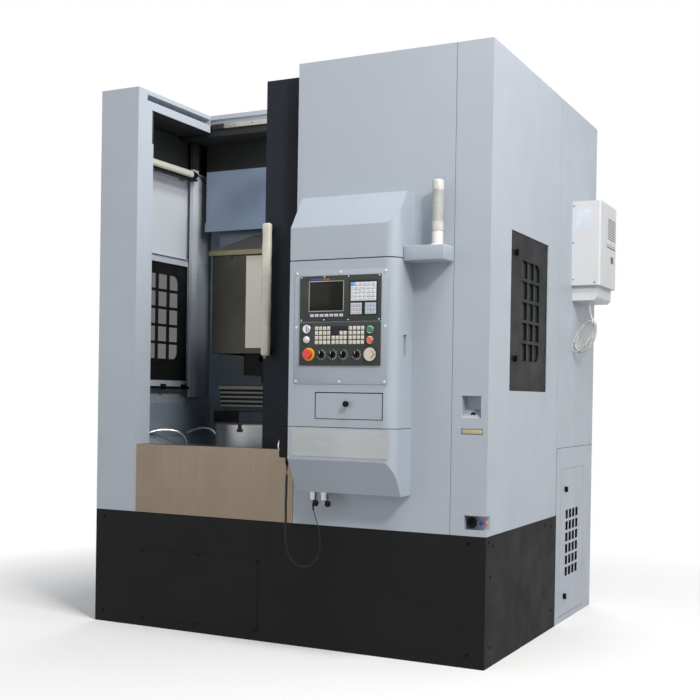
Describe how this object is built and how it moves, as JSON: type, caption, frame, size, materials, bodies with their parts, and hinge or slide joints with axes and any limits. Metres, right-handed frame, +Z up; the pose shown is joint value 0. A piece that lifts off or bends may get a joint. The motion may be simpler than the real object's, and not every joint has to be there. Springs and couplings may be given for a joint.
{
  "type": "cnc vertical lathe",
  "caption": "Vertical turning lathe in a tall sheet enclosure with a face-up chuck, sliding front door, swinging control box, side cabinet and cooling unit.",
  "frame": {"origin": "centre of the enclosure's footprint at floor level, on the bed's underside", "axes": "+X to the machine's right, -Y towards the operator's front, +Z up along the spindle axis"},
  "size_m": [2.433, 2.0983, 2.9],
  "materials": {
    "cast_bed": "painted casting",
    "dark_skirt": "structured",
    "machine_blue": "satin",
    "door_charcoal": "structured",
    "window_black": "satin",
    "leaf_steel": "ground",
    "guard_steel": "brushed",
    "panel_dark": "matte",
    "dial_silver": "brushed",
    "stainless": "brushed",
    "slate_tub": "matte",
    "slate_saddle": "satin",
    "grey_metal": "satin",
    "cream_metal": "satin",
    "clear_hose": "translucent",
    "milky_plastic": "translucent",
    "control_grey": "satin",
    "black_plastic": "matte",
    "cord_grey": "matte",
    "turned_steel": "turned",
    "dark_steel": "ground",
    "black_rubber": "matte",
    "steel_handle": "brushed",
    "red_plastic": "gloss",
    "green_plastic": "gloss",
    "orange_plastic": "gloss"
  },
  "bodies": {
    "machine": {"bed_casting": "cast_bed", "base_skirt": "dark_skirt", "left_pillar": "machine_blue", "rear_lintel": "machine_blue", "cabin_walls": "machine_blue", "left_side_panel": "machine_blue", "right_side_panel": "machine_blue", "splash_sill": "stainless", "main_front_panel": "machine_blue", "roof_and_rear_panels": "machine_blue", "cabin_tub": "slate_tub", "electric_cabinet": "machine_blue", "hydraulic_unit": "grey_metal", "cooling_unit": "cream_metal", "drain_hose": "clear_hose", "drain_hose_coil": "clear_hose", "signal_lamp": "milky_plastic", "control_support": "control_grey", "pendant_body": "black_plastic", "pendant_cord": "cord_grey", "work_lamp": "black_plastic", "column": "cast_bed", "spindle_motor": "dark_steel", "drive_belt": "black_rubber"},
    "sliding_door": {"sliding_door": "door_charcoal", "door_handle": "steel_handle"},
    "z_saddle": {"z_saddle": "machine_blue"},
    "way_cover_1": {"way_cover_1": "leaf_steel"},
    "way_cover_2": {"way_cover_2": "leaf_steel"},
    "way_cover_3": {"way_cover_3": "leaf_steel"},
    "way_cover_4": {"way_cover_4": "leaf_steel"},
    "tool_head": {"tool_head": "slate_saddle", "head_guard": "guard_steel"},
    "turret": {"turret_disc": "turned_steel"},
    "chuck": {"chuck_body": "turned_steel"},
    "jaw_1": {"jaw_1": "dark_steel"},
    "jaw_2": {"jaw_2": "dark_steel"},
    "jaw_3": {"jaw_3": "dark_steel"},
    "motor_pulley": {"motor_pulley": "turned_steel"},
    "right_window_door": {"right_window_door": "window_black"},
    "left_window_door": {"left_window_door": "window_black"},
    "window_latch_lower": {"window_latch_lower": "dark_steel"},
    "window_latch_upper": {"window_latch_upper": "dark_steel"},
    "lower_cabinet_door": {"lower_cabinet_door": "machine_blue"},
    "cabinet_latch_lower": {"cabinet_latch_lower": "dark_steel"},
    "cabinet_latch_upper": {"cabinet_latch_upper": "dark_steel"},
    "electric_cabinet_door": {"electric_cabinet_door": "machine_blue"},
    "control_box": {"control_box": "control_grey", "control_panel": "panel_dark"},
    "control_drawer": {"control_drawer": "control_grey"},
    "pendant_wheel": {"pendant_wheel": "black_plastic"},
    "estop_button": {"estop_button": "red_plastic"},
    "start_button": {"start_button": "green_plastic"},
    "stop_button": {"stop_button": "orange_plastic"},
    "key_switch": {"key_switch": "dark_steel"},
    "selector_1": {"selector_1": "black_plastic"},
    "selector_2": {"selector_2": "black_plastic"},
    "selector_3": {"selector_3": "black_plastic"},
    "selector_4": {"selector_4": "black_plastic"},
    "override_dial": {"override_dial": "dial_silver"}
  },
  "joints": [
    {"name": "door_slide", "type": "slide", "parent": "machine", "child": "sliding_door", "axis": [-1, 0, 0], "range_m": [0, 0.755]},
    {"name": "z_axis", "type": "slide", "parent": "machine", "child": "z_saddle", "axis": [0, 0, 1], "range_m": [-0.05, 0.35]},
    {"name": "x_axis", "type": "slide", "parent": "z_saddle", "child": "tool_head", "axis": [1, 0, 0], "range_m": [0, 0.25]},
    {"name": "turret_index", "type": "hinge", "parent": "tool_head", "child": "turret", "pos_m": [-0.37, -0.357, 1.42], "axis": [0, 0, 1], "continuous": true},
    {"name": "chuck_spin", "type": "hinge", "parent": "machine", "child": "chuck", "pos_m": [-0.385, -0.357, 1], "axis": [0, 0, 1], "continuous": true},
    {"name": "motor_spin", "type": "hinge", "parent": "machine", "child": "motor_pulley", "pos_m": [0.52, -0.357, 0.155], "axis": [0, 0, 1], "continuous": true},
    {"name": "control_box_swing", "type": "hinge", "parent": "machine", "child": "control_box", "pos_m": [0.21, -0.9455, 1.5], "axis": [0, 0, -1], "range_deg": [0, 90]},
    {"name": "drawer_slide", "type": "slide", "parent": "control_box", "child": "control_drawer", "axis": [0, -1, 0], "range_m": [0, 0.13]},
    {"name": "right_window_swing", "type": "hinge", "parent": "machine", "child": "right_window_door", "pos_m": [1.135, -0.035, 1.677], "axis": [0, 0, 1], "range_deg": [0, 110]},
    {"name": "left_window_swing", "type": "hinge", "parent": "machine", "child": "left_window_door", "pos_m": [-1.135, -0.11, 1.677], "axis": [0, 0, -1], "range_deg": [0, 110]},
    {"name": "window_latch_lower_turn", "type": "hinge", "parent": "right_window_door", "child": "window_latch_lower", "pos_m": [1.13, -0.55, 1.446], "axis": [1, 0, 0], "range_deg": [0, 90]},
    {"name": "window_latch_upper_turn", "type": "hinge", "parent": "right_window_door", "child": "window_latch_upper", "pos_m": [1.13, -0.55, 1.965], "axis": [1, 0, 0], "range_deg": [0, 90]},
    {"name": "lower_cabinet_swing", "type": "hinge", "parent": "machine", "child": "lower_cabinet_door", "pos_m": [1.135, 0.745, 0.45], "axis": [0, 0, 1], "range_deg": [0, 110]},
    {"name": "cabinet_latch_lower_turn", "type": "hinge", "parent": "lower_cabinet_door", "child": "cabinet_latch_lower", "pos_m": [1.135, 0.36, 0.14], "axis": [1, 0, 0], "range_deg": [0, 90]},
    {"name": "cabinet_latch_upper_turn", "type": "hinge", "parent": "lower_cabinet_door", "child": "cabinet_latch_upper", "pos_m": [1.135, 0.36, 0.745], "axis": [1, 0, 0], "range_deg": [0, 90]},
    {"name": "electric_cabinet_swing", "type": "hinge", "parent": "machine", "child": "electric_cabinet_door", "pos_m": [1.135, 0.925, 1.94], "axis": [0, 0, -1], "range_deg": [0, 110]},
    {"name": "pendant_wheel_turn", "type": "hinge", "parent": "machine", "child": "pendant_wheel", "pos_m": [0.12, -1.065, 1.005], "axis": [-1, 0, 0], "continuous": true},
    {"name": "jaw_1_slide", "type": "slide", "parent": "chuck", "child": "jaw_1", "axis": [0, 1, 0], "range_m": [0, 0.01]},
    {"name": "jaw_2_slide", "type": "slide", "parent": "chuck", "child": "jaw_2", "axis": [-0.866, -0.5, 0], "range_m": [0, 0.01]},
    {"name": "jaw_3_slide", "type": "slide", "parent": "chuck", "child": "jaw_3", "axis": [0.866, -0.5, 0], "range_m": [0, 0.01]},
    {"name": "way_cover_1_slide", "type": "slide", "parent": "machine", "child": "way_cover_1", "axis": [0, 0, 1], "range_m": [-0.04, 0.28]},
    {"name": "way_cover_2_slide", "type": "slide", "parent": "machine", "child": "way_cover_2", "axis": [0, 0, 1], "range_m": [-0.03, 0.21]},
    {"name": "way_cover_3_slide", "type": "slide", "parent": "machine", "child": "way_cover_3", "axis": [0, 0, 1], "range_m": [-0.02, 0.14]},
    {"name": "way_cover_4_slide", "type": "slide", "parent": "machine", "child": "way_cover_4", "axis": [0, 0, 1], "range_m": [-0.01, 0.07]},
    {"name": "estop_press", "type": "slide", "parent": "control_box", "child": "estop_button", "axis": [0, 1, 0], "range_m": [0, 0.006], "stiffness_N_per_m": 900},
    {"name": "start_press", "type": "slide", "parent": "control_box", "child": "start_button", "axis": [0, 1, 0], "range_m": [0, 0.004], "stiffness_N_per_m": 400},
    {"name": "stop_press", "type": "slide", "parent": "control_box", "child": "stop_button", "axis": [0, 1, 0], "range_m": [0, 0.004], "stiffness_N_per_m": 400},
    {"name": "key_turn", "type": "hinge", "parent": "control_box", "child": "key_switch", "pos_m": [0.292, -1.131, 1.565], "axis": [0, 1, 0], "range_deg": [0, 90]},
    {"name": "override_turn", "type": "hinge", "parent": "control_box", "child": "override_dial", "pos_m": [0.633, -1.131, 1.444], "axis": [0, 1, 0], "continuous": true},
    {"name": "selector_1_turn", "type": "hinge", "parent": "control_box", "child": "selector_1", "pos_m": [0.372, -1.131, 1.444], "axis": [0, 1, 0], "range_deg": [-45, 45]},
    {"name": "selector_2_turn", "type": "hinge", "parent": "control_box", "child": "selector_2", "pos_m": [0.431, -1.131, 1.444], "axis": [0, 1, 0], "range_deg": [-45, 45]},
    {"name": "selector_3_turn", "type": "hinge", "parent": "control_box", "child": "selector_3", "pos_m": [0.488, -1.131, 1.444], "axis": [0, 1, 0], "range_deg": [-45, 45]},
    {"name": "selector_4_turn", "type": "hinge", "parent": "control_box", "child": "selector_4", "pos_m": [0.558, -1.131, 1.444], "axis": [0, 1, 0], "range_deg": [-45, 45]}
  ],
  "couplings": [
    {"joint": "motor_spin", "follows": "chuck_spin", "ratio": 2},
    {"joint": "jaw_2_slide", "follows": "jaw_1_slide", "ratio": 1},
    {"joint": "jaw_3_slide", "follows": "jaw_1_slide", "ratio": 1},
    {"joint": "way_cover_1_slide", "follows": "z_axis", "ratio": 0.8},
    {"joint": "way_cover_2_slide", "follows": "z_axis", "ratio": 0.6},
    {"joint": "way_cover_3_slide", "follows": "z_axis", "ratio": 0.4},
    {"joint": "way_cover_4_slide", "follows": "z_axis", "ratio": 0.2}
  ]
}
